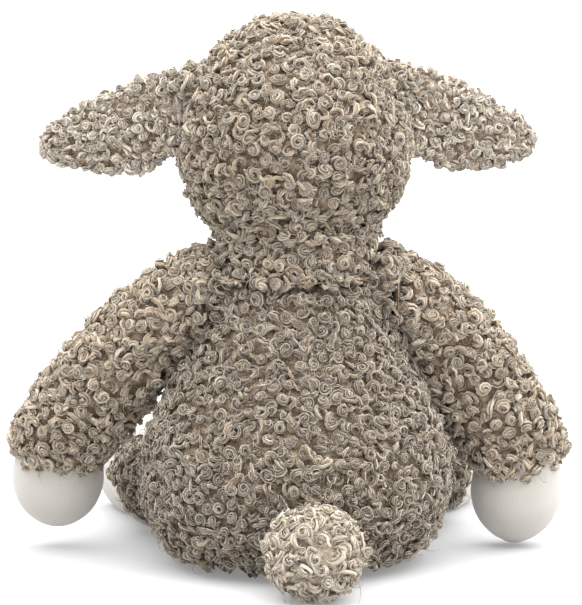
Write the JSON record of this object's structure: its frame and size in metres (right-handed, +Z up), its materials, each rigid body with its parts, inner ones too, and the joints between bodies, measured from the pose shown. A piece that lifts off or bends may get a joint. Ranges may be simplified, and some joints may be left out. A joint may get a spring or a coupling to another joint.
{
  "type": "seated plush sheep",
  "caption": "Seated stuffed sheep with a looped fleece coat, smooth cloth face, hands and feet, drooping ears, hanging arms, forward legs and a pale pompom tail.",
  "frame": {"origin": "on the floor under the middle of the body, on the flat of the base panel", "axes": "+Z up, -Y the way the sheep faces, +X towards its own left"},
  "size_m": [0.257, 0.2623, 0.2572],
  "materials": {
    "fleece": "looped grey-brown plush fleece",
    "tail_fleece": "paler long looped fleece",
    "hide": "smooth brushed pale cloth",
    "lining": "smooth short-napped cloth",
    "filling": "loose polyester fibre",
    "pouch": "closely woven bag of plastic beads",
    "bead": "polished dark plastic",
    "washer": "moulded plastic",
    "thread": "satin stitch"
  },
  "bodies": {
    "body": {"body_back_left": "fleece", "body_back_right": "fleece", "body_belly": "fleece", "body_base": "fleece", "body_filling": "filling", "bead_pouch": "pouch"},
    "neck": {"neck_filling": "filling", "neck_sleeve": "fleece"},
    "head": {"head_coat_left": "fleece", "head_coat_right": "fleece", "head_filling": "filling", "face_hide": "hide", "eye_left": "bead", "eye_right": "bead", "eye_washer_left": "washer", "eye_washer_right": "washer", "nose": "thread"},
    "ear_left": {"ear_back_left": "fleece", "ear_lining_left": "lining"},
    "ear_right": {"ear_back_right": "fleece", "ear_lining_right": "lining"},
    "arm_left": {"arm_sleeve_left": "fleece", "arm_filling_left": "filling", "hand_left": "hide"},
    "arm_right": {"arm_sleeve_right": "fleece", "arm_filling_right": "filling", "hand_right": "hide"},
    "leg_left": {"leg_sleeve_left": "fleece", "leg_filling_left": "filling", "foot_left": "hide", "sole_left": "lining"},
    "leg_right": {"leg_sleeve_right": "fleece", "leg_filling_right": "filling", "foot_right": "hide", "sole_right": "lining"},
    "tail": {"tail_coat": "tail_fleece", "tail_filling": "filling"}
  },
  "joints": [
    {"name": "neck_turn", "type": "hinge", "parent": "body", "child": "neck", "pos_m": [0, -0.002, 0.138], "axis": [0, 0, 1], "range_deg": [-40, 40], "stiffness_Nm_per_rad": 0.4},
    {"name": "head_nod", "type": "hinge", "parent": "neck", "child": "head", "pos_m": [0, -0.002, 0.158], "axis": [1, 0, 0], "range_deg": [-15, 20], "stiffness_Nm_per_rad": 0.6, "deforming": ["neck_sleeve"]},
    {"name": "ear_swing_left", "type": "hinge", "parent": "head", "child": "ear_left", "pos_m": [0.0543, -0.004, 0.211], "axis": [0.2079, 0, -0.9781], "range_deg": [-25, 20], "stiffness_Nm_per_rad": 0.02},
    {"name": "ear_swing_right", "type": "hinge", "parent": "head", "child": "ear_right", "pos_m": [-0.0543, -0.004, 0.211], "axis": [0.2079, 0, 0.9781], "range_deg": [-25, 20], "stiffness_Nm_per_rad": 0.02},
    {"name": "arm_swing_left", "type": "hinge", "parent": "body", "child": "arm_left", "pos_m": [0.042, -0.003, 0.1275], "axis": [-1, 0, 0], "range_deg": [-25, 60], "stiffness_Nm_per_rad": 0.16},
    {"name": "arm_swing_right", "type": "hinge", "parent": "body", "child": "arm_right", "pos_m": [-0.042, -0.003, 0.1275], "axis": [-1, 0, 0], "range_deg": [-25, 60], "stiffness_Nm_per_rad": 0.16},
    {"name": "leg_lift_left", "type": "hinge", "parent": "body", "child": "leg_left", "pos_m": [0.05, -0.052, 0.031], "axis": [-1, 0, 0], "range_deg": [0, 20], "stiffness_Nm_per_rad": 0.2},
    {"name": "leg_lift_right", "type": "hinge", "parent": "body", "child": "leg_right", "pos_m": [-0.05, -0.052, 0.031], "axis": [-1, 0, 0], "range_deg": [0, 20], "stiffness_Nm_per_rad": 0.2},
    {"name": "tail_wag", "type": "hinge", "parent": "body", "child": "tail", "pos_m": [0, 0.0635, 0.0215], "axis": [0, 0, 1], "range_deg": [-20, 20], "stiffness_Nm_per_rad": 0.03}
  ]
}
